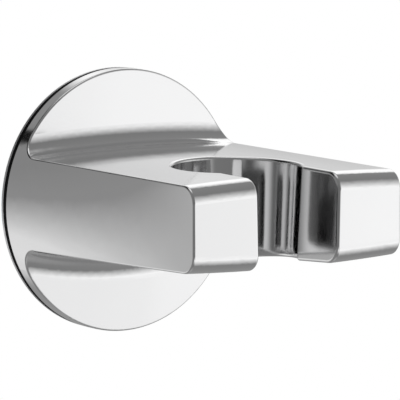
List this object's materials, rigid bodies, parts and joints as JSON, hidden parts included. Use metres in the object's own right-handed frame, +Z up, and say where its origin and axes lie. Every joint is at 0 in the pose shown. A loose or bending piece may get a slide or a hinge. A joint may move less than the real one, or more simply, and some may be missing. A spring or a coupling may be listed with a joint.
{
  "type": "hand shower holder",
  "caption": "Fixed wall holder for a hand shower: round rosette flowing into a two-prong arm with a conical cradle open to the front, keyed on a hidden wall bracket.",
  "frame": {"origin": "on the wall plane, at the rosette's centre", "axes": "+Y into the wall, so the holder stands out along -Y; +Z up; +X to the right as one faces the wall"},
  "size_m": [0.052, 0.0627, 0.052],
  "materials": {
    "polished_chrome": "mirror-polished chrome plate over a metal casting",
    "bracket_metal": "plain tumbled metal casting",
    "seal_rubber": "matt black rubber",
    "screw_steel": "bright stainless steel"
  },
  "bodies": {
    "root": {"holder_body": "polished_chrome", "wall_bracket": "bracket_metal", "seal_ring": "seal_rubber", "grub_screw": "screw_steel"}
  },
  "joints": []
}
